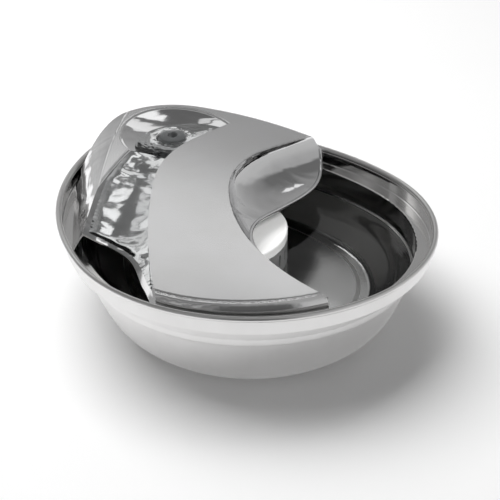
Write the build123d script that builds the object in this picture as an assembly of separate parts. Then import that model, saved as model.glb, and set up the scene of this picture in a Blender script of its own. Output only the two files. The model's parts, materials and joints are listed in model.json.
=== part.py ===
from build123d import *
import math
import os

os.makedirs("parts", exist_ok=True)

# Pet water fountain. Millimetres, +Z up, origin under the centre of the bowl's box.
# The bowl's plan is a raindrop: wide round end towards -Y, small tip towards +Y.

# ---- bowl plan: four tangent arcs, so that any inset of it is four arcs again ----
WIDE_R = 122.0            # round end, to the middle of the rolled rim
TIP_R = 73.0              # tip end
SIDE_R = 216.0            # long sides
TIP_SHIFT = 104.0         # from the centre of the round end to that of the tip

# ---- bowl section ----
RIM_HEIGHT = 70.0         # middle of the rolled rim above the ground
RIM_BEAD_R = 1.8
SHEET = 1.0               # bowl sheet
BAND_HEIGHT = 10.0        # upright band between rim and ledge
LEDGE_ROUND = 0.9
LEDGE_WIDTH = 9.0         # ledge that the cover stands on
BASE_INSET = 42.0         # where the wall meets the ground
WALL_FULLNESS = 1.19      # 1 is an ellipse, less is squarer
FOOT_WIDTH = 5.0          # flat ring that the bowl rests on
BASE_RISE = 1.5           # base inside that ring stands clear of the ground
BASE_LAP = 2.0

# ---- cover, a pressed sheet ----
COVER_SHEET = 1.2
COVER_GAP = 0.9           # cover's skirt to the bowl's band
SEAT_CLEARANCE = 0.2      # cover's skirt to the ledge
SKIRT_TAPER = 10.0        # degrees
TOP_TIP_RISE = 26.0       # top over the rim height at the tip, middle and wide end
TOP_MID_RISE = 12.5
TOP_WIDE_RISE = 7.5
TOP_MID_Y = 20.0          # where the middle rise holds
TOP_CROWN_R = 1200.0      # crown across the width
TOP_CROWN_SPAN = 24.0     # degrees
TOP_ROUND = 6.0
REACH = 400.0             # length of cutting blocks, more than the object's own

# drinking side: a scoop whose wall follows three tangent arcs in plan
SCOOP_X = 69.1            # middle arc, from the centre of the bowl's round end
SCOOP_Y = -12.3
SCOOP_R = 81.0
SCOOP_BACK_AIM = 101.1    # degrees, where the back arc takes over
SCOOP_BACK_R = 900.0
SCOOP_BACK_TURN = 12.0
SCOOP_FRONT_AIM = 148.8   # degrees, where the front arc takes over
SCOOP_FRONT_R = 181.7
SCOOP_FRONT_TURN = 110.0
SCOOP_RUN = 38.0          # how far the scoop's wall sweeps inwards as it falls
SCOOP_TOP_RISE = 12.0
SCOOP_LOW_DROP = 7.9      # below the rim height
LIP_POINTS = [
    (112, 92), (98, 62), (78, 38), (52, 24), (12, 8), (-12, -20), (-23, -60), (-22, -90), (-15, -122),
]
HEM_R = 1.4               # rolled edge along the drinking lip

# crescent's outer edge along the chute: a long arc, a short one and a straight end, all tangent
CREST_LONG_R = 536.0
CREST_LONG_TURN = 22.0    # degrees
CREST_SHORT_R = 100.0
CREST_SHORT_TURN = 39.0
CREST_END = 150.0
CREST_JOIN_X = -40.0
CREST_JOIN_Y = 63.0
CREST_AIM = -33.5         # degrees, from the join to both arc centres

# dish round the spring, a wide ball cap that ends in a point at the crest, and the chute that drains it
WELL_X = 3.0
WELL_Y = 119.5
DISH_X = 5.9              # the ball's lowest point
DISH_Y = 99.6
DISH_BALL_R = 144.0
DISH_FLOOR_RISE = 11.0    # over the rim height
CHUTE_R = 62.0
CHUTE_HIGH = (-16.0, 100.0, 15.0)     # bed line, z over the rim height
CHUTE_LOW = (-92.0, 4.0, -8.0)
CHUTE_LEAD = 45.0         # how far the channel starts above its high point
CHUTE_LENGTH = 260.0
MOUTH_POINTS = [(-128, 44), (-108, 36), (-94, 22), (-88, 6), (-91, -16), (-98, -46), (-108, -78), (-118, -96)]
SHOULDER_AIM = 156.2      # degrees, the way the shoulder faces
SHOULDER_REACH = 119.0    # from the centre of the round end, at the ledge
SHOULDER_R = 61.5
SHOULDER_STEEP = 65.0     # degrees over the ground, at the ledge
CORD_NOTCH_W = 9.0
CORD_NOTCH_H = 6.0

# ---- filter housing ----
TUB_X = -9.0
TUB_Y = 41.0
TUB_R = 54.5
TUB_TAIL_Y = 111.0
TUB_TAIL_R = 31.0
TUB_WALL = 2.0
TUB_FOOT_H = 3.0
TUB_FOOT_R = 5.0
TUB_FOOT_SPREAD = 32.0
TUB_HEIGHT = 42.1
LID_THICK = 2.4
LID_ROUND = 1.8
LID_RIM = 4.0
LID_RIM_WALL = 1.6
LID_GAP = 0.2
INTAKE_SLOTS = 15
INTAKE_SLOT_W = 2.4
INTAKE_SLOT_H = 18.0
INTAKE_FROM = 195.0       # degrees
INTAKE_TO = 345.0

# ---- filter ----
FILTER_GAP = 0.6
FILTER_R = 30.0
FILTER_H = 14.0
FILTER_WALL = 1.8
FILTER_RIBS = 4
FILTER_HUB_R = 6.0
FILTER_TAB_W = 12.0
FILTER_TAB_H = 6.0
CARBON_ROUND = 2.0
FOAM_H = 13.0

# ---- pump, its shaft along Y ----
PUMP_W = 34.0
PUMP_H = 30.0
PUMP_BACK = 52.0          # spring axis to the open back of the body
PUMP_FRONT = 7.0          # spring axis to the front of the body
PUMP_WALL = 2.0
PUMP_ROUND = 4.0
CUP_H = 4.0
CUP_R = 6.0
CUP_TOP_R = 2.7
CUP_SPREAD = 10.0         # from the pump's middle line
CUP_FRONT = 2.0           # front cups behind the spring axis
CHAMBER_R = 12.0
CHAMBER_DEEP = 8.0
ROTOR_R = 7.5
ROTOR_LEN = 25.0
ROTOR_GAP = 1.0           # free length at each end of the rotor
WELL_CLEARANCE = 0.7
WELL_WALL = 1.0
SHAFT_R = 1.15
RUNNING_FIT = 0.05
IMPELLER_R = 10.8
IMPELLER_W = 6.0
IMPELLER_LIFT = 0.8       # impeller's disc off the chamber's back
STEM_R = 3.0
BLADES = 6
BLADE_T = 1.2
BLADE_CURVE = 11.0
BLADE_TURN = 48.0         # degrees of the blade's arc
BLADE_END = 332.0         # degrees, where that arc ends
BLADE_STEP = 0.5          # blades stand this much behind the hub's face
HUB_R = 3.2
SPLITTER_R = 14.0         # plate that closes the chamber
SPLITTER_T = 3.0
SPLITTER_GAP = 0.1
EYE_R = 5.0
ARMS = 3
ARM_W = 1.4
O_RING_R = 0.8
BUSH_R = 2.6
BUSH_LEN = 3.0
NOZZLE_R = 5.0
NOZZLE_BORE_R = 3.6
NOZZLE_BORE_DROP = 6.0
NOZZLE_H = 15.0
FRONT_T = 5.0
FRONT_SKIN = 1.6
FRONT_SLOTS = 7
FRONT_SLOT_W = 2.0
FRONT_SLOT_PITCH = 4.0
FRONT_SLOT_MARGIN = 6.0
RAIL_W = 1.2
RAIL_GAP = 0.3
RAIL_LENGTH = 20.0
SLIDER_W = 8.0
SLIDER_T = 1.5
SLIDER_H = 7.0
SLIDER_DROP = 6.0
SLIDER_GAP = 0.1
NUB_T = 1.4
NUB_H = 1.6

# ---- motor ----
CORE_GAP = 0.5            # core to the pump body's walls
CORE_FRONT_GAP = 3.0
CORE_BACK = 3.0
CORE_BORE_GAP = 0.1
CORE_ROUND = 1.0
BOSS_GAP = 0.3
TONGUE_W = 9.0
TONGUE_H = 12.0
BOBBIN_GAP = 0.2
BOBBIN_WALL = 1.0
BACK_GAP = 0.5            # tongue and bobbin short of the open back
COIL_SIZE = 22.0
COIL_ROUND = 3.0
BACK_PLATE_T = 2.0
GLAND_R = 4.0
GLAND_LEN = 8.0
GLAND_BORE_R = 2.6
GLAND_FLANGE_R = 6.0
GLAND_FLANGE_T = 1.5

# ---- spring outlet and riser ----
RING_R = 9.0
RING_T = 1.4              # where it is thinnest, on the dish's rising side
RING_CHAMFER = 0.5
RING_SEAT_GAP = 0.01      # flange to the dish it sits on
SPIGOT_R = 4.93
SPIGOT_BORE_R = 3.6
SPIGOT_LEN = 11.0
TUBE_BORE_R = 5.0
TUBE_WALL = 1.5
TUBE_TOP_GAP = 0.3
TUBE_LOW_GAP = 0.6
HOLE_GAP = 0.3

# ---- worked out ----
CENTRE_Y = (WIDE_R - TIP_SHIFT - TIP_R) / 2.0     # centre of the round end
TIP_Y = CENTRE_Y + TIP_SHIFT + TIP_R
LEDGE_Z = RIM_HEIGHT - BAND_HEIGHT
BAND_INSET = RIM_BEAD_R - SHEET / 2.0
WALL_INSET = BAND_INSET + SHEET + LEDGE_WIDTH
FLOOR_Z = BASE_RISE + SHEET
DISH_FLOOR_Z = RIM_HEIGHT + DISH_FLOOR_RISE
WELL_OFF = math.hypot(WELL_X - DISH_X, WELL_Y - DISH_Y)
TUB_Z = FLOOR_Z + TUB_FOOT_H
LID_Z = TUB_Z + TUB_HEIGHT
FILTER_Z = TUB_Z + TUB_WALL + FOAM_H
FILTER_Y = TUB_Y - TUB_R + TUB_WALL + FILTER_GAP + FILTER_R
PUMP_Z = TUB_Z + TUB_WALL + CUP_H
CHAMBER_BACK = PUMP_FRONT - SPLITTER_T - CHAMBER_DEEP
ROTOR_BACK = CHAMBER_BACK - ROTOR_GAP - ROTOR_LEN
WELL_BACK = ROTOR_BACK - ROTOR_GAP
SHAFT_BACK = WELL_BACK - BUSH_LEN
BOSS_BACK = SHAFT_BACK - WELL_WALL
CORE_INNER_BACK = BOSS_BACK - BOSS_GAP
CORE_OUTER_BACK = CORE_INNER_BACK - CORE_BACK
MOTOR_BACK = -PUMP_BACK + BACK_GAP
GROOVE_R = (CHAMBER_R + SPLITTER_R) / 2

# the long sides' arc centres lie at (side_x, -+side_y) from the round end's, along and across
side_x = ((SIDE_R - WIDE_R) ** 2 - (SIDE_R - TIP_R) ** 2 + TIP_SHIFT ** 2) / (2 * TIP_SHIFT)
side_y = math.sqrt((SIDE_R - WIDE_R) ** 2 - side_x ** 2)
SIDE_FROM = math.degrees(math.atan2(-side_x, side_y))
SIDE_TO = math.degrees(math.atan2(TIP_SHIFT - side_x, side_y))

# plan arcs: centre x, centre y, radius at the rim, first angle, last angle
ARCS = [
    (-side_y, CENTRE_Y + side_x, SIDE_R, SIDE_FROM, SIDE_TO),
    (0.0, CENTRE_Y + TIP_SHIFT, TIP_R, SIDE_TO, 180 - SIDE_TO),
    (side_y, CENTRE_Y + side_x, SIDE_R, 180 - SIDE_TO, 180 - SIDE_FROM),
    (0.0, CENTRE_Y, WIDE_R, 180 - SIDE_FROM, 360 + SIDE_FROM),
]


def raindrop(inset, z=0.0):
    """The bowl's plan outline as a face, inset all round."""
    edges = [CenterArc((x, y), r - inset, a, b - a) for x, y, r, a, b in ARCS]
    return Pos(0, 0, z) * make_face(Curve() + edges)


def drawn_round(section):
    """Carry a section, a function of the rim radius, round the four arcs of the plan."""
    pieces = []
    for x, y, r, a, b in ARCS:
        turned = revolve(Plane.XZ * section(r), Axis.Z, revolution_arc=b - a)
        pieces.append(Pos(x, y, 0) * Rot(0, 0, a) * turned)
    return pieces[0] + pieces[1:]


def at(x, y):
    """A plan point given from the centre of the bowl's round end."""
    return (x, y + CENTRE_Y)


def dish_height(off):
    """Height of the seated cover's dish, off from the ball's lowest point in plan."""
    return DISH_FLOOR_Z + SEAT_CLEARANCE + DISH_BALL_R - math.sqrt(DISH_BALL_R ** 2 - off ** 2)


def ring(outer, inner, length):
    return extrude(Circle(outer) - Circle(inner), length)


# ------------------------------------------------------------------ bowl
def wall_curve(offset):
    """Points down the bowl's wall, moved by offset along the wall's normal."""
    drop = LEDGE_Z - SHEET
    run = BASE_INSET - WALL_INSET
    points = []
    for degrees in (0, 20, 40, 60, 78, 90):
        t = math.radians(degrees)
        inset = BASE_INSET - run * math.cos(t) ** WALL_FULLNESS
        z = drop - drop * math.sin(t) ** WALL_FULLNESS
        slope = math.atan2(drop * math.cos(t), run * math.sin(t)) if degrees else math.pi / 2
        points.append((inset + offset * math.sin(slope), z + offset * math.cos(slope)))
    return points


def bowl_section(r):
    outer = [(r - i, z) for i, z in wall_curve(0)]
    inner = [(r - i, z) for i, z in wall_curve(SHEET)]
    foot_in = r - BASE_INSET - FOOT_WIDTH
    step_in = foot_in - 2 * BASE_RISE
    end = step_in - BASE_LAP
    slant = 0.3 * SHEET
    band_out = r - BAND_INSET
    band_in = band_out - SHEET
    lines = Curve() + [
        Spline(*outer, tangents=[(0, -1), (-1, 0)]),
        Polyline(outer[-1], (foot_in, 0), (step_in, BASE_RISE), (end, BASE_RISE), (end, FLOOR_Z),
                 (step_in + slant, FLOOR_Z), (foot_in + slant, SHEET), inner[-1]),
        Spline(*reversed(inner), tangents=[(1, 0), (0, 1)]),
        Polyline(inner[0], (inner[0][0], LEDGE_Z), (band_in, LEDGE_Z), (band_in, RIM_HEIGHT),
                 (band_out, RIM_HEIGHT), (band_out, LEDGE_Z - SHEET), outer[0]),
    ]
    face = make_face(lines)
    corners = [v for v in face.vertices() if abs(v.Y - LEDGE_Z) < SHEET / 2]
    return fillet(corners, LEDGE_ROUND)


def make_bowl():
    wall = drawn_round(bowl_section)
    rim = drawn_round(lambda r: Pos(r, RIM_HEIGHT) * Circle(RIM_BEAD_R))
    base_inset = BASE_INSET + FOOT_WIDTH + 2 * BASE_RISE + BASE_LAP / 2
    base = extrude(raindrop(base_inset, BASE_RISE), SHEET)
    return wall + rim + base


# ------------------------------------------------------------------ cover
# Each block below takes an inset and moves its whole surface by exactly that much, so the
# cover's outer form less the same form inset by the sheet leaves an even pressed sheet.
def skirt_block(inset):
    """Everything inside the cover's tapered skirt; an inset form is also open below."""
    below = BAND_HEIGHT * 4 if inset > 0 else 0
    outward = below * math.tan(math.radians(SKIRT_TAPER))
    face = raindrop(BAND_INSET + SHEET + COVER_GAP + inset - outward, LEDGE_Z - below)
    return extrude(face, BAND_HEIGHT * 7 + below, taper=SKIRT_TAPER)


def under_top(inset):
    """Everything below the cover's crowned top."""
    z = RIM_HEIGHT - inset
    low = RIM_HEIGHT - TOP_CROWN_R
    a = (CENTRE_Y - WIDE_R, z + TOP_WIDE_RISE)
    b = (CENTRE_Y + TOP_MID_Y, z + TOP_MID_RISE)
    c = (TIP_Y, z + TOP_TIP_RISE)
    sides = Polyline(c, (c[0], low), (a[0], low), a)
    section = Plane.YZ * make_face(Curve() + [ThreePointArc(a, b, c), sides])
    axis = Axis((0, 0, low), (0, 1, 0))
    return revolve(section.rotate(axis, -TOP_CROWN_SPAN / 2), axis, revolution_arc=TOP_CROWN_SPAN)


def shoulder_block(inset):
    """What lies outside the shoulder's round, a level cylinder along the chute."""
    steep = math.radians(SHOULDER_STEEP)
    reach = SHOULDER_REACH - SHOULDER_R * math.sin(steep)
    axis_z = LEDGE_Z - SHOULDER_R * math.cos(steep)
    block = Box(REACH / 2, REACH, REACH / 2, align=(Align.MIN, Align.CENTER, Align.MIN))
    barrel = Rot(90, 0, 0) * Cylinder(SHOULDER_R - inset, REACH + 100)
    return Pos(*at(0, 0)) * Rot(0, 0, SHOULDER_AIM) * Pos(reach, 0, axis_z) * (block - barrel)


def scoop_section(r, inset):
    low = RIM_HEIGHT - SCOOP_LOW_DROP - inset
    high = RIM_HEIGHT + SCOOP_TOP_RISE
    top = high + BAND_HEIGHT * 6
    inner_r = r - SCOOP_RUN
    outer_r = r + inset
    sweep_arc = EllipticalCenterArc((inner_r, high), outer_r - inner_r, high - low, 270, arc_size=90)
    rest = Polyline((outer_r, high), (outer_r, top), (0, top), (0, low), (inner_r, low))
    return make_face(Curve() + [sweep_arc, rest])


def scoop_block(inset):
    """The hollow of the drinking side: one wedge for each arc of its wall."""
    middle_turn = SCOOP_FRONT_AIM - SCOOP_BACK_AIM
    wedges = []
    for r, joint, start, turn in (
        (SCOOP_R, 0, SCOOP_BACK_AIM, middle_turn),
        (SCOOP_BACK_R, SCOOP_BACK_AIM, SCOOP_BACK_AIM - SCOOP_BACK_TURN, SCOOP_BACK_TURN),
        (SCOOP_FRONT_R, SCOOP_FRONT_AIM, SCOOP_FRONT_AIM, SCOOP_FRONT_TURN),
    ):
        x = SCOOP_X - (r - SCOOP_R) * math.cos(math.radians(joint))
        y = SCOOP_Y - (r - SCOOP_R) * math.sin(math.radians(joint))
        turned = revolve(Plane.XZ * scoop_section(r, inset), Axis.Z, revolution_arc=turn)
        wedges.append(Pos(*at(x, y)) * Rot(0, 0, start) * turned)
    return wedges[0] + wedges[1:]


def crescent_block(inset):
    """Plan of the crescent's side of the chute's edge, as a tall block."""
    aim = math.radians(CREST_AIM)
    join = Vector(CREST_JOIN_X, CREST_JOIN_Y)
    ahead = Vector(math.cos(aim), math.sin(aim))
    long_c = join + ahead * CREST_LONG_R
    short_c = join + ahead * CREST_SHORT_R
    back = CREST_AIM + 180
    long_arc = CenterArc(at(long_c.X, long_c.Y), CREST_LONG_R - inset, back, CREST_LONG_TURN)
    short_arc = CenterArc(at(short_c.X, short_c.Y), CREST_SHORT_R - inset, back, -CREST_SHORT_TURN)
    end = Line(short_arc @ 1, (short_arc @ 1) + (short_arc % 1) * CREST_END)
    a = long_arc @ 1
    b = end @ 1
    rest = Polyline(a, (REACH, a.Y), (REACH, b.Y), b)
    return extrude(make_face(Curve() + [long_arc, short_arc, end, rest]), REACH)


def chute_block(inset):
    """The round channel from the dish to the mouth."""
    high = Vector(*at(CHUTE_HIGH[0], CHUTE_HIGH[1]), RIM_HEIGHT + CHUTE_HIGH[2])
    low = Vector(*at(CHUTE_LOW[0], CHUTE_LOW[1]), RIM_HEIGHT + CHUTE_LOW[2])
    ahead = (low - high).normalized()
    up = Vector(0, 0, 1)
    lift = (up - ahead * up.dot(ahead)).normalized() * CHUTE_R
    plane = Plane(origin=high + lift - ahead * CHUTE_LEAD, z_dir=ahead)
    return plane * extrude(Circle(CHUTE_R + inset), CHUTE_LENGTH)


def dish_block(inset):
    """The round dish: a ball cap."""
    return Pos(*at(DISH_X, DISH_Y), DISH_FLOOR_Z + DISH_BALL_R) * Sphere(DISH_BALL_R + inset)


def cover_form(inset):
    """The solid form that the sheet wraps, inset all over."""
    block = skirt_block(inset) & under_top(inset)
    high_edges = block.edges().filter_by(lambda e: e.center().Z > RIM_HEIGHT - inset)
    top_edges = high_edges.filter_by(lambda e: e.length > 2 * BAND_HEIGHT)
    block = fillet(top_edges, TOP_ROUND - inset)
    water_way = chute_block(inset) + dish_block(inset)
    return block - shoulder_block(inset) - scoop_block(inset) - (water_way - crescent_block(inset))


def plan_curve(points):
    return Spline(*[at(x, y) for x, y in points])


def side_opening(points, far_x, near_y, end_y):
    """A tall block whose near side is a smooth curve through points."""
    curve = plan_curve(points)
    a = curve @ 0
    b = curve @ 1
    far = Polyline(b, (b.X, end_y), (far_x, end_y), (far_x, near_y), (a.X, near_y), a)
    return extrude(make_face(Curve() + [curve, far]), REACH)


def lip_hem():
    """The rolled edge of the drinking lip, along the middle of the sheet."""
    wall = Face.extrude(plan_curve(LIP_POINTS), (0, 0, REACH))
    cut = wall & cover_form(COVER_SHEET / 2)
    lip_z = RIM_HEIGHT - SCOOP_LOW_DROP - COVER_SHEET
    path = Wire([e for e in cut.edges() if min((e @ 0).Z, (e @ 1).Z) > lip_z and e.length > 2 * HEM_R])
    bead = sweep(Plane(origin=path @ 0, z_dir=path % 0) * Circle(HEM_R), path=path)
    return bead & skirt_block(0)


def make_cover():
    sheet = cover_form(0) - cover_form(COVER_SHEET)
    drinking = side_opening(LIP_POINTS, WIDE_R * 2, TIP_Y - WIDE_R / 2, -WIDE_R * 2)
    mouth = side_opening(MOUTH_POINTS, -WIDE_R * 2, CENTRE_Y + WIDE_R / 2, CENTRE_Y - WIDE_R)
    well = Pos(*at(WELL_X, WELL_Y), 0) * extrude(Circle(SPIGOT_R + HOLE_GAP), REACH)
    notch = Pos(0, TIP_Y, LEDGE_Z) * Box(CORD_NOTCH_W, TIP_R / 2, 2 * CORD_NOTCH_H)
    cover = sheet - drinking - mouth - well - notch + lip_hem()
    return Pos(0, 0, SEAT_CLEARANCE) * cover


# ------------------------------------------------------------------ spring outlet and riser
def make_outlet_ring():
    """Flat on top and, below, shaped to the dish it sits on."""
    low = dish_height(WELL_OFF - RING_R)
    top = dish_height(WELL_OFF + RING_R) + RING_T
    flange = extrude(Circle(RING_R), top - low)
    flange = chamfer(flange.edges().group_by(Axis.Z)[-1], RING_CHAMFER)
    flange = Pos(*at(WELL_X, WELL_Y), low) * flange & Pos(0, 0, SEAT_CLEARANCE) * dish_block(-RING_SEAT_GAP)
    pipe = extrude(Circle(SPIGOT_R), SPIGOT_LEN - RING_T / 2)
    pipe = Pos(*at(WELL_X, WELL_Y), top - SPIGOT_LEN) * pipe
    bore = Pos(*at(WELL_X, WELL_Y), 0) * extrude(Circle(SPIGOT_BORE_R), REACH)
    return flange + pipe - bore


def make_riser_tube():
    nearest = WELL_OFF - TUBE_BORE_R - TUBE_WALL
    top = dish_height(nearest) - COVER_SHEET - TUBE_TOP_GAP
    low = LID_Z + LID_THICK + TUBE_LOW_GAP
    return Pos(*at(WELL_X, WELL_Y), low) * ring(TUBE_BORE_R + TUBE_WALL, TUBE_BORE_R, top - low)


# ------------------------------------------------------------------ filter housing
def tub_outline(inset):
    big = Pos(*at(TUB_X, TUB_Y)) * Circle(TUB_R - inset)
    tail = Pos(*at(WELL_X, TUB_TAIL_Y)) * Circle(TUB_TAIL_R - inset)
    return make_hull(big.edges() + tail.edges())


def make_housing_tub():
    outer = extrude(Pos(0, 0, TUB_Z) * tub_outline(0), TUB_HEIGHT)
    outer = fillet(outer.edges().group_by(Axis.Z)[0], TUB_WALL)
    hollow = extrude(Pos(0, 0, TUB_Z + TUB_WALL) * tub_outline(TUB_WALL), TUB_HEIGHT)
    slots = []
    slot = Pos(TUB_R, 0, TUB_Z + TUB_HEIGHT / 2) * Box(4 * TUB_WALL, INTAKE_SLOT_W, INTAKE_SLOT_H)
    for i in range(INTAKE_SLOTS):
        turn = INTAKE_FROM + (INTAKE_TO - INTAKE_FROM) * i / (INTAKE_SLOTS - 1)
        slots.append(Pos(*at(TUB_X, TUB_Y)) * Rot(0, 0, turn) * slot)
    left = (TUB_X - TUB_FOOT_SPREAD, TUB_Y)
    right = (TUB_X + TUB_FOOT_SPREAD, TUB_Y)
    wide_end = (TUB_X, TUB_Y - TUB_FOOT_SPREAD)
    feet = []
    for x, y in (left, right, wide_end, (WELL_X, TUB_TAIL_Y)):
        feet.append(Pos(*at(x, y), FLOOR_Z) * extrude(Circle(TUB_FOOT_R), TUB_FOOT_H + TUB_WALL / 2))
    return outer - hollow - slots + feet


def make_housing_lid():
    plate = extrude(Pos(0, 0, LID_Z) * tub_outline(0), LID_THICK)
    plate = fillet(plate.edges().group_by(Axis.Z)[-1], LID_ROUND)
    outer = tub_outline(TUB_WALL + LID_GAP)
    inner = tub_outline(TUB_WALL + LID_GAP + LID_RIM_WALL)
    rim = extrude(Pos(0, 0, LID_Z - LID_RIM) * (outer - inner), LID_RIM)
    hole = Pos(*at(WELL_X, WELL_Y), LID_Z) * Cylinder(NOZZLE_R + HOLE_GAP, 6 * LID_THICK)
    return plate + rim - hole


# ------------------------------------------------------------------ filter
def make_filter_frame():
    wall = ring(FILTER_R, FILTER_R - FILTER_WALL, FILTER_H)
    rib = Pos(0, 0, FILTER_WALL / 2) * Box(2 * FILTER_R - FILTER_WALL, FILTER_WALL, FILTER_WALL)
    ribs = [Rot(0, 0, 180 * i / FILTER_RIBS) * rib for i in range(FILTER_RIBS)]
    hub = extrude(Circle(FILTER_HUB_R), FILTER_WALL)
    tab_z = FILTER_H - FILTER_WALL + FILTER_TAB_H / 2
    tab = Pos(0, FILTER_WALL - FILTER_R, tab_z) * Box(FILTER_TAB_W, FILTER_WALL, FILTER_TAB_H)
    return Pos(*at(TUB_X, FILTER_Y), FILTER_Z) * (wall + ribs + hub + tab)


def make_filter_carbon():
    pad = extrude(Circle(FILTER_R - FILTER_WALL - FILTER_GAP), FILTER_H - 2 * FILTER_WALL)
    pad = fillet(pad.edges(), CARBON_ROUND)
    return Pos(*at(TUB_X, FILTER_Y), FILTER_Z + FILTER_WALL) * pad


def make_filter_foam():
    return Pos(*at(TUB_X, FILTER_Y), FILTER_Z - FOAM_H) * extrude(Circle(FILTER_R - FILTER_GAP), FOAM_H)


# ------------------------------------------------------------------ pump
def along(v, shape):
    """Put a shape made along +Z on the pump's shaft, v from the spring axis towards the tip."""
    x, y = at(WELL_X, WELL_Y)
    return Pos(x, y + v, PUMP_Z + PUMP_H / 2) * Rot(-90, 0, 0) * shape


def pump_outline(inset):
    return RectangleRounded(PUMP_W - 2 * inset, PUMP_H - 2 * inset, PUMP_ROUND - inset)


def make_pump_body():
    inner_front = CHAMBER_BACK - PUMP_WALL
    body = along(-PUMP_BACK, extrude(pump_outline(0), PUMP_BACK + PUMP_FRONT))
    body -= along(-PUMP_BACK, extrude(pump_outline(PUMP_WALL), PUMP_BACK + inner_front))
    spring = Pos(*at(WELL_X, WELL_Y), PUMP_Z + PUMP_H)
    body += spring * Pos(0, 0, -PUMP_WALL) * extrude(Circle(NOZZLE_R), NOZZLE_H + PUMP_WALL)
    well_r = ROTOR_R + WELL_CLEARANCE
    body += along(BOSS_BACK, extrude(Circle(well_r + WELL_WALL), CHAMBER_BACK - BOSS_BACK))
    body -= along(WELL_BACK, extrude(Circle(well_r), CHAMBER_BACK - WELL_BACK + 1))
    body -= along(SHAFT_BACK, extrude(Circle(BUSH_R), BUSH_LEN))
    body -= along(CHAMBER_BACK, extrude(Circle(CHAMBER_R), 2 * CHAMBER_DEEP))
    body -= along(PUMP_FRONT - SPLITTER_T, extrude(Circle(SPLITTER_R), 2 * SPLITTER_T))
    bore = extrude(Circle(NOZZLE_BORE_R), NOZZLE_H + NOZZLE_BORE_DROP + 1)
    return body - spring * Pos(0, 0, -NOZZLE_BORE_DROP) * bore


def make_motor_back_plate():
    plate = extrude(pump_outline(0) - Circle(GLAND_BORE_R), BACK_PLATE_T)
    return along(-PUMP_BACK - BACK_PLATE_T, plate)


def make_cord_gland():
    end = -PUMP_BACK - BACK_PLATE_T
    flange = ring(GLAND_FLANGE_R, GLAND_BORE_R, GLAND_FLANGE_T)
    neck = ring(GLAND_R, GLAND_BORE_R, GLAND_LEN)
    return along(end - GLAND_LEN, neck) + along(end - GLAND_FLANGE_T, flange)


def make_stator_core():
    side = PUMP_WALL + CORE_GAP
    front = CHAMBER_BACK - PUMP_WALL - CORE_FRONT_GAP
    outline = RectangleRounded(PUMP_W - 2 * side, PUMP_H - 2 * side, CORE_ROUND)
    block = extrude(outline, front - CORE_OUTER_BACK)
    bore = extrude(Circle(ROTOR_R + WELL_CLEARANCE + WELL_WALL + CORE_BORE_GAP), PUMP_BACK)
    tongue = extrude(Rectangle(TONGUE_W, TONGUE_H), CORE_OUTER_BACK - MOTOR_BACK)
    return along(CORE_OUTER_BACK, block) - along(CORE_INNER_BACK, bore) + along(MOTOR_BACK, tongue)


def tongue_outline(margin):
    return Rectangle(TONGUE_W + 2 * margin, TONGUE_H + 2 * margin)


def make_coil_bobbin():
    length = CORE_OUTER_BACK - BOBBIN_GAP - MOTOR_BACK
    hole = tongue_outline(BOBBIN_GAP)
    tube = extrude(tongue_outline(BOBBIN_GAP + BOBBIN_WALL) - hole, length)
    flange = extrude(Rectangle(COIL_SIZE, COIL_SIZE) - hole, BOBBIN_WALL)
    return along(MOTOR_BACK, tube + flange + Pos(0, 0, length - BOBBIN_WALL) * flange)


def make_coil_winding():
    length = CORE_OUTER_BACK - BOBBIN_GAP - MOTOR_BACK - 2 * BOBBIN_WALL
    size = COIL_SIZE - BOBBIN_WALL
    hole = tongue_outline(BOBBIN_GAP + BOBBIN_WALL)
    return along(MOTOR_BACK + BOBBIN_WALL, extrude(RectangleRounded(size, size, COIL_ROUND) - hole, length))


def make_rotor_magnet():
    return along(ROTOR_BACK, ring(ROTOR_R, STEM_R, ROTOR_LEN))


def make_impeller():
    bore = SHAFT_R + RUNNING_FIT
    low = CHAMBER_BACK + IMPELLER_LIFT
    stem = along(ROTOR_BACK, ring(STEM_R, bore, low - ROTOR_BACK))
    disc = along(low, ring(IMPELLER_R, bore, BLADE_T))
    hub = along(low, ring(HUB_R, bore, IMPELLER_W))
    arc = CenterArc((0, BLADE_CURVE), BLADE_CURVE, BLADE_END - BLADE_TURN, BLADE_TURN)
    outline = make_face(offset(arc, BLADE_T / 2)) & Circle(IMPELLER_R)
    blade = extrude(outline, IMPELLER_W - BLADE_STEP)
    blades = [along(low, Rot(0, 0, 360 * i / BLADES) * blade) for i in range(BLADES)]
    return disc + stem + hub + blades


def make_impeller_shaft():
    return along(SHAFT_BACK, extrude(Circle(SHAFT_R), PUMP_FRONT - SHAFT_BACK))


def make_shaft_bush(v):
    return along(v, ring(BUSH_R, SHAFT_R, BUSH_LEN))


def make_splitter_plate():
    start = PUMP_FRONT - SPLITTER_T
    plate = ring(SPLITTER_R - SPLITTER_GAP, EYE_R, SPLITTER_T)
    groove = ring(GROOVE_R + O_RING_R, GROOVE_R - O_RING_R, 2 * O_RING_R)
    hub = ring(BUSH_R + 1, BUSH_R, BUSH_LEN)
    inner = BUSH_R + 0.5
    outer = EYE_R + 0.5
    arm = Pos((inner + outer) / 2, 0, SPLITTER_T / 2) * Box(outer - inner, ARM_W, SPLITTER_T)
    arms = [Rot(0, 0, 360 * i / ARMS) * arm for i in range(ARMS)]
    return along(start, plate - groove + hub + arms)


def make_splitter_o_ring():
    return along(PUMP_FRONT - SPLITTER_T + O_RING_R, Torus(GROOVE_R, O_RING_R))


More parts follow.
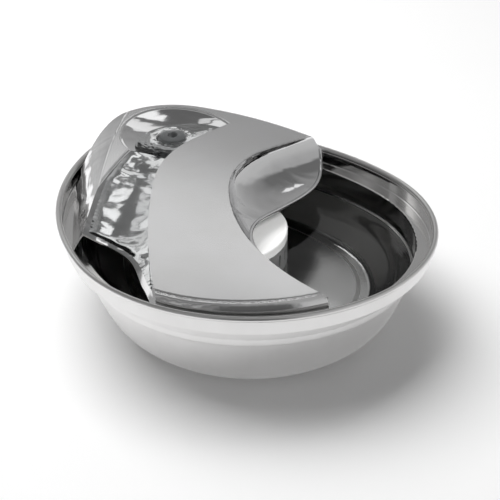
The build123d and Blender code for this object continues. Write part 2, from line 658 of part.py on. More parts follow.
def make_pump_front_cover():
    cap = extrude(pump_outline(0), FRONT_T) - extrude(pump_outline(PUMP_WALL), FRONT_T - FRONT_SKIN)
    slot = Rectangle(FRONT_SLOT_W, PUMP_H - 2 * FRONT_SLOT_MARGIN)
    for i in range(FRONT_SLOTS):
        x = FRONT_SLOT_PITCH * (i - (FRONT_SLOTS - 1) / 2)
        cap -= extrude(Pos(x, 0) * slot, 2 * FRONT_T)
    foot = FRONT_SKIN / 2
    for side in (-1, 1):
        rail = Pos(side * (SLIDER_W / 2 + RAIL_GAP + RAIL_W / 2), 0) * Rectangle(RAIL_W, RAIL_LENGTH)
        cap += Pos(0, 0, FRONT_T - foot) * extrude(rail, foot + SLIDER_T)
    return along(PUMP_FRONT, cap)


def make_flow_slider():
    plate = extrude(RectangleRounded(SLIDER_W, SLIDER_H, 1.0), SLIDER_T)
    nub = extrude(Rectangle(SLIDER_W - 2, NUB_H), SLIDER_T + NUB_T)
    return along(PUMP_FRONT + FRONT_T + SLIDER_GAP, Pos(0, SLIDER_DROP) * (plate + nub))


def make_suction_cups():
    cone = Cone(CUP_R, CUP_TOP_R, CUP_H, align=(Align.CENTER, Align.CENTER, Align.MIN))
    cups = []
    for x in (-CUP_SPREAD, CUP_SPREAD):
        for v in (CUP_SPREAD - PUMP_BACK, -CUP_FRONT):
            cups.append(Pos(*at(WELL_X + x, WELL_Y + v), TUB_Z + TUB_WALL) * cone)
    return cups[0] + cups[1:]


PARTS = {
    "bowl": make_bowl,
    "cover": make_cover,
    "outlet_ring": make_outlet_ring,
    "riser_tube": make_riser_tube,
    "housing_tub": make_housing_tub,
    "housing_lid": make_housing_lid,
    "filter_frame": make_filter_frame,
    "filter_carbon": make_filter_carbon,
    "filter_foam": make_filter_foam,
    "pump_body": make_pump_body,
    "motor_back_plate": make_motor_back_plate,
    "cord_gland": make_cord_gland,
    "stator_core": make_stator_core,
    "coil_bobbin": make_coil_bobbin,
    "coil_winding": make_coil_winding,
    "rotor_magnet": make_rotor_magnet,
    "impeller": make_impeller,
    "impeller_shaft": make_impeller_shaft,
    "shaft_bush_rear": lambda: make_shaft_bush(SHAFT_BACK),
    "shaft_bush_front": lambda: make_shaft_bush(PUMP_FRONT - BUSH_LEN),
    "splitter_plate": make_splitter_plate,
    "splitter_o_ring": make_splitter_o_ring,
    "pump_front_cover": make_pump_front_cover,
    "flow_slider": make_flow_slider,
    "suction_cups": make_suction_cups,
}

for name, make in PARTS.items():
    export_step(make(), os.path.join("parts", name + ".step"))
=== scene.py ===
import json
import math

import bpy
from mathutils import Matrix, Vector, noise
from mathutils.bvhtree import BVHTree
from mathutils.kdtree import KDTree


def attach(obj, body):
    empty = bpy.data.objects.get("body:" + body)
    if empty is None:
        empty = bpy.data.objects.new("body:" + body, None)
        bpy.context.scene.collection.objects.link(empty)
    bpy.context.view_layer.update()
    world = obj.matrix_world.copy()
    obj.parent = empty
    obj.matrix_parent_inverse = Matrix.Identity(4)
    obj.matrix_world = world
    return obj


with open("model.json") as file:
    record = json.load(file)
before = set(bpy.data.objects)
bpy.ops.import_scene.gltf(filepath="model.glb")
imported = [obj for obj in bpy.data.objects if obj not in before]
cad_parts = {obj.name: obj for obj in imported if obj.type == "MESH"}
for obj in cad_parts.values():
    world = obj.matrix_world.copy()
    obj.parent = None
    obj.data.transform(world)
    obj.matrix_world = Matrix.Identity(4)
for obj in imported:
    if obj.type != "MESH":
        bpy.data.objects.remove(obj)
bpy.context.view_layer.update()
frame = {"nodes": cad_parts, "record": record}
nodes = frame["nodes"]

# plan of the bowl, in metres: centre of the round end and rim height, as in the part
ROUND_END_Y = -0.0275
RIM_Z = 0.070
SEAT_CLEARANCE = 0.0002
CROWN_R = 1.2             # the cover's top, across
CROWN_LINE = ((-0.122, 0.0075), (0.020, 0.0125), (0.177, 0.0260))      # its ridge: along, over the rim
BEAD = 0.0019             # the rolled rim starts this far under the rim's height


# ------------------------------------------------------------------ camera
camera = bpy.data.objects.new("camera", bpy.data.cameras.new("camera"))
bpy.context.scene.collection.objects.link(camera)
bpy.context.scene.camera = camera
camera.location = (-0.3211, -0.5656, 0.3973)
aim = Vector((-0.0215, -0.0622, 0.0700)) - camera.location
camera.rotation_euler = aim.to_track_quat("-Z", "Y").to_euler()
camera.data.sensor_width = 36.0
camera.data.lens = 76.2
camera.data.clip_start = 0.01
camera.data.clip_end = 50.0


# ------------------------------------------------------------------ shader helpers
class Shader:
    """A material or world under construction: makes nodes and wires their inputs."""

    def __init__(self, owner):
        owner.use_nodes = True
        self.tree = owner.node_tree
        self.tree.nodes.clear()

    def node(self, kind, inputs=None, **settings):
        made = self.tree.nodes.new(kind)
        for key, value in settings.items():
            setattr(made, key, value)
        for key, value in (inputs or {}).items():
            self.feed(made.inputs[key], value)
        return made

    def feed(self, socket, value):
        if isinstance(value, bpy.types.NodeSocket):
            self.tree.links.new(value, socket)
        else:
            socket.default_value = value

    def math(self, operation, *values, clamp=False):
        made = self.tree.nodes.new("ShaderNodeMath")
        made.operation = operation
        made.use_clamp = clamp
        for socket, value in zip(made.inputs, values):
            self.feed(socket, value)
        return made.outputs[0]

    def step(self, value, low, high, from_value=0.0, to_value=1.0):
        """Smooth step of value from low to high."""
        made = self.node("ShaderNodeMapRange", interpolation_type="SMOOTHSTEP")
        for key, number in zip(
            ("Value", "From Min", "From Max", "To Min", "To Max"), (value, low, high, from_value, to_value)
        ):
            self.feed(made.inputs[key], number)
        return made.outputs[0]

    def position(self, scale=(1, 1, 1)):
        coordinate = self.node("ShaderNodeTexCoord").outputs["Object"]
        if scale == (1, 1, 1):
            return coordinate
        return self.node("ShaderNodeMapping", {"Vector": coordinate, "Scale": scale}).outputs[0]

    def xyz(self, vector):
        return self.node("ShaderNodeSeparateXYZ", {"Vector": vector}).outputs

    def noise(self, vector, scale, detail=3.0, roughness=0.5, distortion=0.0):
        made = self.node(
            "ShaderNodeTexNoise",
            {
                "Vector": vector,
                "Scale": scale,
                "Detail": detail,
                "Roughness": roughness,
                "Distortion": distortion,
            },
        )
        return made.outputs["Fac"]

    def ramp(self, value, stops):
        made = self.node("ShaderNodeValToRGB", {"Fac": value})
        elements = made.color_ramp.elements
        while len(elements) < len(stops):
            elements.new(0.5)
        for element, (place, colour) in zip(elements, stops):
            element.position = place
            element.color = (*colour, 1.0)
        return made.outputs["Color"]

    def mix(self, factor, a, b):
        made = self.node("ShaderNodeMix", data_type="RGBA")
        self.feed(made.inputs["Factor"], factor)
        self.feed(made.inputs["A"], a)
        self.feed(made.inputs["B"], b)
        return made.outputs["Result"]

    def bump(self, height, distance, strength=1.0, normal=None):
        made = self.node("ShaderNodeBump", {"Height": height, "Distance": distance, "Strength": strength})
        if normal is not None:
            self.feed(made.inputs["Normal"], normal)
        return made.outputs["Normal"]

    def surface(self, shader_socket):
        self.node("ShaderNodeOutputMaterial", {"Surface": shader_socket})

    def principled(self, **inputs):
        named = {key.replace("_", " "): value for key, value in inputs.items()}
        made = self.node("ShaderNodeBsdfPrincipled", named)
        self.surface(made.outputs["BSDF"])
        return made


def new_material(name):
    material = bpy.data.materials.new(name)
    return material, Shader(material)


def grey(value):
    return (value, value, value)


# ------------------------------------------------------------------ steel
def band(s, value, low, high, soft):
    """1 where value lies from low to high, fading over soft."""
    rise = s.step(value, low - soft, low)
    fall = s.step(value, high, high + soft)
    return s.math("SUBTRACT", rise, fall, clamp=True)


def cover_top_mask(s):
    """1 on the cover's crowned top and 0 on everything pressed into it."""
    x, y, z = s.xyz(s.position())
    crown_low = RIM_Z - CROWN_R + SEAT_CLEARANCE
    (ax, ay), (bx, by), (cx, cy) = [(ROUND_END_Y + along, CROWN_R + rise) for along, rise in CROWN_LINE]
    twist = 2 * (ax * (by - cy) + bx * (cy - ay) + cx * (ay - by))
    a2, b2, c2 = ax * ax + ay * ay, bx * bx + by * by, cx * cx + cy * cy
    mid_y = (a2 * (by - cy) + b2 * (cy - ay) + c2 * (ay - by)) / twist
    mid_z = (a2 * (cx - bx) + b2 * (ax - cx) + c2 * (bx - ax)) / twist
    bend = math.hypot(ax - mid_y, ay - mid_z)
    side = 1 if mid_z < ay else -1
    along = s.math("SUBTRACT", y, mid_y)
    inside = s.math("SUBTRACT", bend * bend, s.math("MULTIPLY", along, along))
    profile = s.math("ADD", mid_z, s.math("MULTIPLY", side, s.math("SQRT", inside)))
    drop = s.math("SUBTRACT", z, crown_low)
    reach = s.math("SQRT", s.math("ADD", s.math("MULTIPLY", x, x), s.math("MULTIPLY", drop, drop)))
    off = s.math("ABSOLUTE", s.math("SUBTRACT", reach, profile))
    return s.step(off, 0.0002, 0.0009, 1.0, 0.0)


def steel_colour(s, base, smudge):
    """Steel's own colour, a little warmer and darker where fingers and water have been."""
    tone = s.noise(s.position(), 22.0, 5.0, 0.6)
    return s.mix(s.step(tone, 0.35, 0.7), (*base, 1.0), (*smudge, 1.0))


def cover_steel():
    """Satin on the crowned top and nearly a mirror on everything pressed into it."""
    material, s = new_material("steel_polished")
    top = cover_top_mask(s)
    smears = s.noise(s.position(), 34.0, 4.0, 0.6)
    satin = s.math("MULTIPLY_ADD", smears, 0.03, 0.235)
    mirror = s.math("MULTIPLY_ADD", smears, 0.07, 0.04)
    roughness = s.math("ADD", mirror, s.math("MULTIPLY", top, s.math("SUBTRACT", satin, mirror)))
    swells = s.noise(s.position((26, 26, 9)), 1.0, 2.0, 0.4, 0.6)
    streaks = s.noise(s.position((14, 14, 120)), 1.0, 2.0, 0.5, 0.4)
    waves = s.math("MULTIPLY_ADD", streaks, 0.3, swells)
    height = s.math("MULTIPLY", waves, s.math("SUBTRACT", 1.0, top))
    s.principled(
        Base_Color=steel_colour(s, (0.77, 0.77, 0.775), (0.745, 0.743, 0.742)),
        Metallic=1.0,
        Roughness=roughness,
        Normal=s.bump(height, 0.0018),
    )
    return material


def bowl_steel():
    """Brushed satin outside and on the bead; band, ledge and inside nearly a mirror."""
    material, s = new_material("steel_satin")
    x, y, z = s.xyz(s.position())
    normal = s.xyz(s.node("ShaderNodeNewGeometry").outputs["Normal"])
    across = s.math("MULTIPLY", x, normal["X"])
    from_end = s.math("SUBTRACT", y, 0.01)
    lengthways = s.math("MULTIPLY", from_end, normal["Y"])
    outward = s.math("ADD", across, lengthways)
    outside = s.step(outward, -0.002, 0.004)
    below = s.step(normal["Z"], -0.25, -0.05, 1.0, 0.0)
    outer = s.math("MAXIMUM", outside, below)
    bead = s.step(z, RIM_Z - BEAD, RIM_Z - BEAD + 0.0007)
    soft = s.math("MAXIMUM", outer, bead)
    smears = s.noise(s.position(), 30.0, 4.0, 0.6)
    satin = s.math("MULTIPLY_ADD", smears, 0.08, 0.27)
    mirror = s.math("MULTIPLY_ADD", smears, 0.07, 0.06)
    roughness = s.math("ADD", mirror, s.math("MULTIPLY", soft, s.math("SUBTRACT", satin, mirror)))
    brushed = s.noise(s.position((5, 5, 2600)), 1.0, 2.0, 0.7)
    waves = s.noise(s.position((9, 9, 22)), 1.0, 2.0, 0.4)
    height = s.math(
        "ADD",
        s.math("MULTIPLY", brushed, s.math("MULTIPLY", outer, 0.02)),
        s.math("MULTIPLY", waves, s.math("SUBTRACT", 1.0, soft)),
    )
    s.principled(
        Base_Color=steel_colour(s, (0.74, 0.735, 0.73), (0.70, 0.694, 0.688)),
        Metallic=1.0,
        Roughness=roughness,
        Normal=s.bump(height, 0.0012),
    )
    return material


# ------------------------------------------------------------------ the other finishes
def moulded(name, colour, shade, roughness, texture=0.00003, coat=0.0):
    """Injection-moulded plastic with a faint spark-eroded texture and a little handling shine."""
    material, s = new_material(name)
    tone = s.noise(s.position(), 40.0, 4.0)
    fine = s.noise(s.position(), 2600.0, 2.0)
    wear = s.noise(s.position(), 90.0, 3.0)
    shader = s.principled(
        Base_Color=s.mix(s.step(tone, 0.35, 0.7), (*colour, 1.0), (*shade, 1.0)),
        Roughness=s.math("MULTIPLY_ADD", wear, 0.14, roughness - 0.07),
        Normal=s.bump(fine, texture),
    )
    shader.inputs["Coat Weight"].default_value = coat
    return material


def clear_vinyl():
    material, s = new_material("clear_vinyl")
    haze = s.noise(s.position(), 60.0, 3.0)
    shader = s.principled(
        Base_Color=s.mix(haze, (0.86, 0.88, 0.88, 1.0), (0.93, 0.94, 0.93, 1.0)),
        Roughness=s.math("MULTIPLY_ADD", haze, 0.12, 0.12),
    )
    shader.inputs["Transmission Weight"].default_value = 0.85
    shader.inputs["IOR"].default_value = 1.5
    return material


def carbon():
    """Activated carbon grains behind a fleece."""
    material, s = new_material("carbon")
    grains = s.node("ShaderNodeTexVoronoi", {"Vector": s.position(), "Scale": 620.0})
    shades = [(0.0, grey(0.012)), (0.6, grey(0.03)), (1.0, grey(0.09))]
    s.principled(
        Base_Color=s.ramp(grains.outputs["Distance"], shades),
        Roughness=0.75,
        Normal=s.bump(grains.outputs["Distance"], 0.0006),
    )
    return material


def foam():
    """Open-cell foam, with painted shade darkening its pores."""
    material, s = new_material("foam")
    cells = s.node("ShaderNodeTexVoronoi", {"Vector": s.position(), "Scale": 900.0}, feature="SMOOTH_F1")
    tone = s.noise(s.position(), 60.0, 4.0)
    # painted shade: the pores, the low points of the bump, go near black, while the lit cell walls stay grey
    pore_shade = s.step(cells.outputs["Distance"], 0.15, 0.55)
    lit = s.mix(tone, (0.05, 0.055, 0.065, 1.0), (0.085, 0.09, 0.1, 1.0))
    s.principled(
        Base_Color=s.mix(pore_shade, (0.012, 0.013, 0.016, 1.0), lit),
        Roughness=0.92,
        Normal=s.bump(cells.outputs["Distance"], 0.0008),
    )
    return material


def copper():
    """Enamelled winding wire, turns side by side round the tongue."""
    material, s = new_material("copper")
    y = s.xyz(s.position())["Y"]
    turn = s.math("SINE", s.math("MULTIPLY", y, 2 * math.pi / 0.0005))
    tone = s.noise(s.position(), 120.0, 3.0)
    s.principled(
        Base_Color=s.mix(tone, (0.45, 0.14, 0.05, 1.0), (0.62, 0.24, 0.09, 1.0)),
        Metallic=1.0,
        Roughness=s.math("MULTIPLY_ADD", tone, 0.15, 0.2),
        Normal=s.bump(turn, 0.00012),
    )
    return material


def laminations():
    """Stacked electrical steel sheets."""
    material, s = new_material("laminations")
    x = s.xyz(s.position())["X"]
    sheet = s.math("SINE", s.math("MULTIPLY", x, 2 * math.pi / 0.0007))
    tone = s.noise(s.position(), 80.0, 4.0)
    s.principled(
        Base_Color=s.mix(tone, (0.17, 0.175, 0.19, 1.0), (0.27, 0.27, 0.28, 1.0)),
        Metallic=1.0,
        Roughness=s.math("MULTIPLY_ADD", tone, 0.2, 0.36),
        Normal=s.bump(sheet, 0.0001),
    )
    return material


FINISHES = {
    "steel_polished": cover_steel(),
    "steel_satin": bowl_steel(),
    "white_plastic": moulded("white_plastic", (0.88, 0.88, 0.87), (0.84, 0.84, 0.83), 0.34),
    "black_plastic": moulded("black_plastic", (0.022, 0.022, 0.024), (0.035, 0.035, 0.037), 0.38),
    "grey_plastic": moulded("grey_plastic", (0.42, 0.43, 0.44), (0.37, 0.38, 0.39), 0.36),
    "clear_vinyl": clear_vinyl(),
    "soft_rubber": moulded("soft_rubber", (0.03, 0.03, 0.032), (0.05, 0.05, 0.05), 0.62, 0.00006),
    "carbon": carbon(),
    "foam": foam(),
    "copper": copper(),
    "laminations": laminations(),
    "magnet": moulded("magnet", (0.06, 0.06, 0.065), (0.09, 0.088, 0.09), 0.46, 0.00008),
    "shaft_ceramic": moulded("shaft_ceramic", (0.86, 0.85, 0.8), (0.8, 0.79, 0.74), 0.16, 0.00001, 0.4),
}

for row in frame["record"]["subparts"]:
    piece = nodes[row["node"]]
    piece.data.materials.clear()
    piece.data.materials.append(FINISHES[row["material_slot"]])


# ------------------------------------------------------------------ water
def water_material():
    material, s = new_material("water")
    ripple = s.noise(s.position(), 240.0, 2.0, 0.5)
    tint = s.noise(s.position(), 20.0, 2.0)
    shader = s.principled(
        Base_Color=s.mix(tint, (0.97, 0.985, 0.985, 1.0), (0.99, 1.0, 1.0, 1.0)),
        Roughness=s.math("MULTIPLY", tint, 0.02),
        Normal=s.bump(ripple, 0.00005),
    )
    shader.inputs["Transmission Weight"].default_value = 1.0
    shader.inputs["IOR"].default_value = 1.333
    return material


WATER = water_material()


def tree_of(name):
    return BVHTree.FromObject(nodes[name], bpy.context.evaluated_depsgraph_get())


def add_piece(name, points, faces, body):
    mesh = bpy.data.meshes.new(name)
    mesh.from_pydata(points, [], faces)
    mesh.validate()
    mesh.polygons.foreach_set("use_smooth", [True] * len(mesh.polygons))
    mesh.materials.append(WATER)
    piece = bpy.data.objects.new(name, mesh)
    bpy.context.scene.collection.objects.link(piece)
    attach(piece, body)


BOWL_LEVEL = 0.043        # water over the ground, a little under the housing's lid
BOWL_MIDDLE_Y = 0.0
BOWL_RAYS = 120
BOWL_RINGS = 56
INTO_STEEL = 0.0004       # how far the water's hidden faces lie inside the sheet


def bowl_water():
    """A closed body of water: flat on top, with a small meniscus, and shaped to the bowl below."""
    bowl = tree_of("bowl")
    middle = Vector((0.0, BOWL_MIDDLE_Y, BOWL_LEVEL))
    down = Vector((0, 0, -1))
    points = [tuple(middle), (middle.x, middle.y, bowl.ray_cast(middle, down)[0].z - INTO_STEEL)]
    for i in range(BOWL_RAYS):
        aim = 2 * math.pi * i / BOWL_RAYS
        out = Vector((math.cos(aim), math.sin(aim), 0))
        wall = bowl.ray_cast(middle, out)[3]
        for k in range(1, BOWL_RINGS + 1):
            reach = wall * k / BOWL_RINGS
            place = middle + out * reach
            floor = bowl.ray_cast(place - out * 1e-5, down)[0].z - INTO_STEEL
            if k == BOWL_RINGS:
                place = middle + out * (wall + INTO_STEEL)
                floor = BOWL_LEVEL - INTO_STEEL
            climb = 0.0008 * math.exp(-(wall - reach) / 0.0015)
            points.append((place.x, place.y, BOWL_LEVEL + climb))
            points.append((place.x, place.y, min(floor, BOWL_LEVEL - INTO_STEEL)))

    def at(ray, ring, low):
        if ring == 0:
            return low
        return 2 + 2 * ((ray % BOWL_RAYS) * BOWL_RINGS + ring - 1) + low

    faces = []
    for i in range(BOWL_RAYS):
        faces.append((at(i, 0, 0), at(i, 1, 0), at(i + 1, 1, 0)))
        faces.append((at(i, 0, 1), at(i + 1, 1, 1), at(i, 1, 1)))
        for k in range(1, BOWL_RINGS):
            faces.append((at(i, k, 0), at(i, k + 1, 0), at(i + 1, k + 1, 0), at(i + 1, k, 0)))
            faces.append((at(i, k, 1), at(i + 1, k, 1), at(i + 1, k + 1, 1), at(i, k + 1, 1)))
        rim = BOWL_RINGS
        faces.append((at(i, rim, 0), at(i, rim, 1), at(i + 1, rim, 1), at(i + 1, rim, 0)))
    add_piece("bowl_water", points, faces, "base")


# the dish's ball and the chute's round channel, as in the part, in metres
SPRING = Vector((0.003, 0.092))
DISH_LOW = Vector((0.0059, 0.0721, 0.0812))
DISH_BALL_R = 0.144
CHUTE_R = 0.062
CHUTE_HIGH = Vector((-0.016, 0.0725, 0.0852))
CHUTE_LOW = Vector((-0.092, -0.0235, 0.0622))
CHUTE_AHEAD = (CHUTE_LOW - CHUTE_HIGH).normalized()
CHUTE_UP = (Vector((0, 0, 1)) - CHUTE_AHEAD * CHUTE_AHEAD.z).normalized()
CHUTE_SIDE = CHUTE_AHEAD.cross(CHUTE_UP)

POOL_LEVEL = 0.0866
FILM = 0.0011             # water running down the chute
GRID = 0.0007
GRID_LOW = (-0.112, -0.062)
GRID_SIZE = (240, 280)
SHORE = 0.008             # over this width the film thins out towards an open edge
FILM_START = 0.012        # the film has its full thickness this far down the chute
POOL_END = 0.004          # the pool starts to fall this far down the chute
POOL_FALL = 0.30
BLEND = 0.0012
OUTLET_R = 0.0075         # water stands over the outlet, whatever lies below
DOME_R = 0.0102
DOME_HEIGHT = 0.0036
SAME = 0.0004             # a surface this near a form belongs to it


def dish_bed(x, y):
    off = (x - DISH_LOW.x) ** 2 + (y - DISH_LOW.y) ** 2
    return DISH_LOW.z + DISH_BALL_R - math.sqrt(max(DISH_BALL_R ** 2 - off, 0.0))


def chute_bed(x, y):
    """Height of the channel at a plan point: where a plumb line meets its lower side."""
    foot = Vector((x, y, 0.0)) - CHUTE_HIGH - CHUTE_UP * CHUTE_R
    across = foot.dot(CHUTE_SIDE)
    left = CHUTE_R ** 2 - across ** 2
    if left <= 0:
        return 1.0
    return (-math.sqrt(left) - foot.dot(CHUTE_UP)) / CHUTE_UP.z


def clamped(value):
    return max(0.0, min(1.0, value))


def smooth_max(a, b, soft):
    mix = clamped(0.5 + 0.5 * (a - b) / soft)
    return b + (a - b) * mix + soft * mix * (1 - mix)


def ripples(x, y, run, wet):
    """The running water's own shape: streaks down the chute, rings and froth in the dish."""
    off = math.hypot(x - SPRING.x, y - SPRING.y)
    streak = noise.noise(Vector((x * CHUTE_SIDE.x + y * CHUTE_SIDE.y, 0.12 * run, 0.3)) * 210.0)
    broad = noise.noise(Vector((x * CHUTE_SIDE.x + y * CHUTE_SIDE.y, 0.25 * run, 7.1)) * 75.0)
    chute = 0.00012 * streak + 0.0003 * broad
    froth = noise.noise(Vector((x, y, 0.02)) * 330.0) + 0.6 * noise.noise(Vector((x, y, 0.05)) * 620.0)
    rings = math.cos(2 * math.pi * off / 0.0085) * math.exp(-off / 0.014)
    dish = 0.0002 * froth + 0.00025 * rings
    share = clamped(run / 0.02)
    return wet * (chute * share + dish * (1 - share))


def spring_dome(x, y):
    """The low dome of water over the outlet, with a ring round its foot."""
    off = math.hypot(x - SPRING.x, y - SPRING.y)
    inside = max(0.0, 1 - (off / DOME_R) ** 2)
    return DOME_HEIGHT * inside ** 0.8 - 0.0007 * math.exp(-((off - 0.0125) / 0.0018) ** 2)


def grid_place(i, j):
    return GRID_LOW[0] + GRID * i, GRID_LOW[1] + GRID * j


def along_chute(x, y):
    """Distance down the chute from its head, in plan."""
    return (Vector((x, y)) - CHUTE_HIGH.xy).dot(CHUTE_AHEAD.xy) / CHUTE_AHEAD.xy.length


def beside(i, j):
    return ((i, j - 1), (i + 1, j), (i, j + 1), (i - 1, j))


def wet_places():
    """Grid points that the water covers, spread from the spring, and those of walls beside it."""
    cover = tree_of("cover")
    down = Vector((0, 0, -1))

    def look(i, j):
        x, y = grid_place(i, j)
        bed = min(dish_bed(x, y), chute_bed(x, y))
        if math.hypot(x - SPRING.x, y - SPRING.y) < OUTLET_R:
            return "wet"
        hit = cover.ray_cast(Vector((x, y, 0.2)), down)[0]
        if hit is None or hit.z < bed - SAME:
            return "off"
        dry = along_chute(x, y) < 0 and bed > POOL_LEVEL + SAME
        return "wall" if hit.z > bed + SAME or dry else "wet"

    start = (round((SPRING.x - GRID_LOW[0]) / GRID), round((SPRING.y - GRID_LOW[1]) / GRID))
    kind = {start: "wet"}
    waiting = [start]
    while waiting:
        here = waiting.pop()
        for place in beside(*here):
            if place in kind:
                continue
            kind[place] = look(*place)
            if kind[place] == "wet":
                waiting.append(place)
    return kind


def running_water():
    """Pool in the dish and film down the chute, a closed skin whose underside lies in the sheet."""
    kind = wet_places()
    columns, rows = GRID_SIZE
    open_edge = [place for place, what in kind.items() if what == "off"]
    shores = KDTree(len(open_edge))
    for k, place in enumerate(open_edge):
        shores.insert((*grid_place(*place), 0.0), k)
    shores.balance()
    tops = {}
    for (i, j), what in kind.items():
        x, y = grid_place(i, j)
        run = along_chute(x, y)
        bed = min(dish_bed(x, y), chute_bed(x, y))
        edge = min(1.0, shores.find((x, y, 0.0))[2] / SHORE)
        edge = edge * edge * (3 - 2 * edge)
        in_chute = clamped(run / FILM_START)
        film = bed - 2 * SAME + (FILM + 2 * SAME) * edge * in_chute
        pool = POOL_LEVEL - POOL_FALL * max(0.0, run - POOL_END)
        top = smooth_max(pool, film, BLEND)
        wet = clamped((top - bed) / BLEND)
        tops[i, j] = (bed, top + ripples(x, y, max(run, 0.0), wet) + spring_dome(x, y))

    used = {}
    points = []
    faces = []

    def corner(i, j, low):
        if (i, j, low) not in used:
            x, y = grid_place(i, j)
            bed, top = tops[i, j]
            bottom = bed - INTO_STEEL
            used[i, j, low] = len(points)
            points.append((x, y, bottom if low else max(top, bottom + 0.00002)))
        return used[i, j, low]

    def is_cell(i, j):
        corners = [(i, j), (i + 1, j), (i + 1, j + 1), (i, j + 1)]
        if any(kind.get(c, "off") == "off" for c in corners):
            return False
        if all(kind[c] == "wall" for c in corners):
            return False
        return any(tops[c][1] > tops[c][0] - INTO_STEEL + 0.00005 for c in corners)

    for i in range(columns - 1):
        for j in range(rows - 1):
            if not is_cell(i, j):
                continue
            square = [(i, j), (i + 1, j), (i + 1, j + 1), (i, j + 1)]
            faces.append([corner(*c, 0) for c in square])
            faces.append([corner(*c, 1) for c in reversed(square)])
            for next_cell, a, b in zip(beside(i, j), square, square[1:] + square[:1]):
                if not is_cell(*next_cell):
                    faces.append([corner(*b, 0), corner(*a, 0), corner(*a, 1), corner(*b, 1)])
    add_piece("running_water", points, faces, "cover")


bowl_water()
running_water()


# ------------------------------------------------------------------ studio
AHEAD = Vector((0.51, 0.86, 0.0)).normalized()      # the way the camera faces, over the floor
RIGHT = Vector((0.86, -0.51, 0.0)).normalized()
FLOOR_NEAR = 0.42         # the pale floor ends here, short of the camera
FLOOR_FAR = 4.0
FLOOR_SIDE = 3.0
FLOOR_GLOW = 0.2          # for rays that the steel and the water send on
SHADE = 0.22              # the world for diffuse rays
PANE_AHEAD = 0.5          # the light panes stand in one upright plane this far behind the object


def studio_floor():
    ends = (
        (-FLOOR_NEAR, -FLOOR_SIDE),
        (-FLOOR_NEAR, FLOOR_SIDE),
        (FLOOR_FAR, FLOOR_SIDE),
        (FLOOR_FAR, -FLOOR_SIDE),
    )
    corners = [tuple(AHEAD * along + RIGHT * across) for along, across in ends]
    mesh = bpy.data.meshes.new("floor")
    mesh.from_pydata(corners, [], [(0, 1, 2, 3)])
    floor = bpy.data.objects.new("floor", mesh)
    bpy.context.scene.collection.objects.link(floor)
    material, s = new_material("floor")
    tone = s.noise(s.position(), 3.0, 2.0)
    path = s.node("ShaderNodeLightPath")
    paper = s.mix(tone, (0.86, 0.86, 0.865, 1), (0.88, 0.88, 0.885, 1))
    paper = s.mix(path.outputs["Is Camera Ray"], paper, (1, 1, 1, 1))
    diffuse = s.node("ShaderNodeBsdfDiffuse", {"Color": paper})
    mirrored = s.math("MAXIMUM", path.outputs["Is Glossy Ray"], path.outputs["Is Transmission Ray"])
    strength = s.math("MULTIPLY", mirrored, FLOOR_GLOW)
    glow = s.node("ShaderNodeEmission", {"Color": (1, 1, 1, 1), "Strength": strength})
    both = s.node("ShaderNodeAddShader", {0: diffuse.outputs[0], 1: glow.outputs[0]})
    s.surface(both.outputs[0])
    mesh.materials.append(material)


def softbox(name, place, target, width, height, power):
    lamp = bpy.data.lights.new(name, "AREA")
    lamp.shape = "RECTANGLE"
    lamp.size = width
    lamp.size_y = height
    lamp.energy = power
    holder = bpy.data.objects.new(name, lamp)
    bpy.context.scene.collection.objects.link(holder)
    holder.location = place
    holder.rotation_euler = (Vector(target) - Vector(place)).to_track_quat("-Z", "Y").to_euler()
    holder.visible_camera = False
    return holder


def light_pane(name, left, right, low, high, radiance):
    """A small upright softbox behind the object, seen in the steel; left and right along RIGHT."""
    width, height = right - left, high - low
    place = AHEAD * PANE_AHEAD + RIGHT * (left + right) / 2 + Vector((0, 0, (low + high) / 2))
    softbox(name, place, place - AHEAD, width, height, radiance * math.pi * width * height)


def elevation_ramp(s, height, stops):
    """A grey that follows the elevation, in degrees over the horizon."""
    return s.ramp(s.math("DIVIDE", height, 90.0), [(degrees / 90.0, grey(value)) for degrees, value in stops])


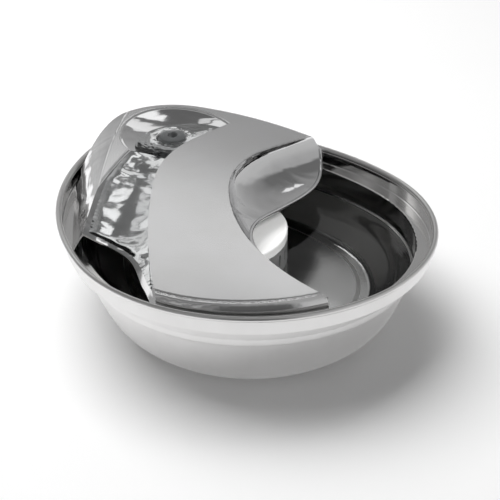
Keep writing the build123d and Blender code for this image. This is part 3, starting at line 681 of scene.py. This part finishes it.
def studio_world():
    """Grey walls round the object, darker overhead and darkest on the camera's side."""
    world = bpy.data.worlds.new("studio")
    bpy.context.scene.world = world
    s = Shader(world)
    x, y, z = s.xyz(s.node("ShaderNodeTexCoord").outputs["Generated"])
    to_degrees = 180 / math.pi
    ahead = s.math("ADD", s.math("MULTIPLY", x, AHEAD.x), s.math("MULTIPLY", y, AHEAD.y))
    right = s.math("ADD", s.math("MULTIPLY", x, RIGHT.x), s.math("MULTIPLY", y, RIGHT.y))
    turn = s.math("MULTIPLY", s.math("ARCTAN2", right, ahead), to_degrees)
    height = s.math("MULTIPLY", s.math("ARCSINE", z), to_degrees)

    back = elevation_ramp(s, height, [(0, 0.58), (14, 0.44), (30, 0.33), (45, 0.17), (66, 0.14), (90, 0.4)])
    left = elevation_ramp(s, height, [(0, 0.34), (40, 0.28), (60, 0.22), (90, 0.4)])
    streak = s.math("SINE", s.math("MULTIPLY", turn, 0.42))
    left = s.math("MULTIPLY", left, s.math("MULTIPLY_ADD", streak, 0.3, 1.0))
    wall = elevation_ramp(s, height, [(0, 0.6), (30, 0.55), (55, 0.4), (90, 0.45)])
    dark = elevation_ramp(s, height, [(0, 0.10), (45, 0.13), (65, 0.3), (90, 0.45)])
    sky = s.mix(band(s, turn, -150, -62, 16), dark, left)
    sky = s.mix(band(s, turn, 50, 145, 16), sky, wall)
    sky = s.mix(band(s, turn, -46, 40, 16), sky, back)

    path = s.node("ShaderNodeLightPath")
    colour = s.mix(path.outputs["Is Diffuse Ray"], sky, (*grey(SHADE), 1))
    colour = s.mix(path.outputs["Is Camera Ray"], colour, (1, 1, 1, 1))
    background = s.node("ShaderNodeBackground", {"Color": colour, "Strength": 1.0})
    s.node("ShaderNodeOutputWorld", {"Surface": background.outputs[0]})


def soft_light(name, place, target, size, power):
    """A square softbox that lights the object but isn't seen in the steel or the water."""
    holder = softbox(name, place, target, size, size, power)
    holder.visible_glossy = False
    holder.visible_transmission = False
    return holder


studio_floor()
soft_light("key", (-0.30, 0.87, 2.0), (0, 0, 0), 2.0, 52)
light_pane("pane_low", -0.55, 0.13, 0.405, 0.57, 0.76)
light_pane("pane_right", 0.03, 0.17, 0.67, 0.84, 1.0)
light_pane("pane_left", -0.30, -0.09, 0.60, 0.68, 0.6)

# the fill lights the white housing alone
fill = soft_light("fill", (0.10, -1.0, 0.95), (0.03, -0.02, 0.05), 0.5, 15)
housing = bpy.data.collections.new("housing")
for name in ("housing_lid", "housing_tub"):
    housing.objects.link(nodes[name])
fill.light_linking.receiver_collection = housing
studio_world()

bpy.context.scene.view_settings.view_transform = "Standard"
